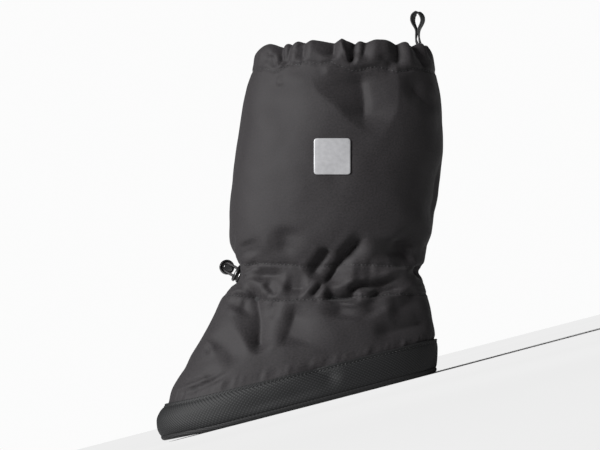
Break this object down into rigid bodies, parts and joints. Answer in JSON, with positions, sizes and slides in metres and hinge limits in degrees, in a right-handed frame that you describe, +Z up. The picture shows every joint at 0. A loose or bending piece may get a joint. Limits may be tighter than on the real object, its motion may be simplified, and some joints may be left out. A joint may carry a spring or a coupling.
{
  "type": "winter overshoe",
  "caption": "Soft fabric overshoe for a small child: tall gathered shaft with elastic hem, drawcord at the ankle, woven band round the foot, padded sole and pull loop.",
  "frame": {"origin": "on the floor, under the middle of the sole's length and width", "axes": "+Z up; the toe points to -X and the heel to +X; the outer side with the patch faces -Y"},
  "size_m": [0.2554, 0.0929, 0.255],
  "materials": {
    "sole_fabric": "heavy coated twill, matt",
    "band_fabric": "heavy diagonal twill with a faint sheen",
    "shell_fabric": "fine plain weave nylon, soft sheen",
    "loop_tape": "ribbed woven tape",
    "reflective_film": "silver retroreflective film, satin",
    "cord": "braided elastic cord",
    "black_plastic": "glossy moulded plastic"
  },
  "bodies": {
    "root": {"outsole": "sole_fabric", "foot_band": "band_fabric", "upper": "shell_fabric", "pull_loop": "loop_tape", "reflective_patch": "reflective_film", "drawcord": "cord", "cord_lock": "black_plastic", "cord_end": "black_plastic"}
  },
  "joints": []
}
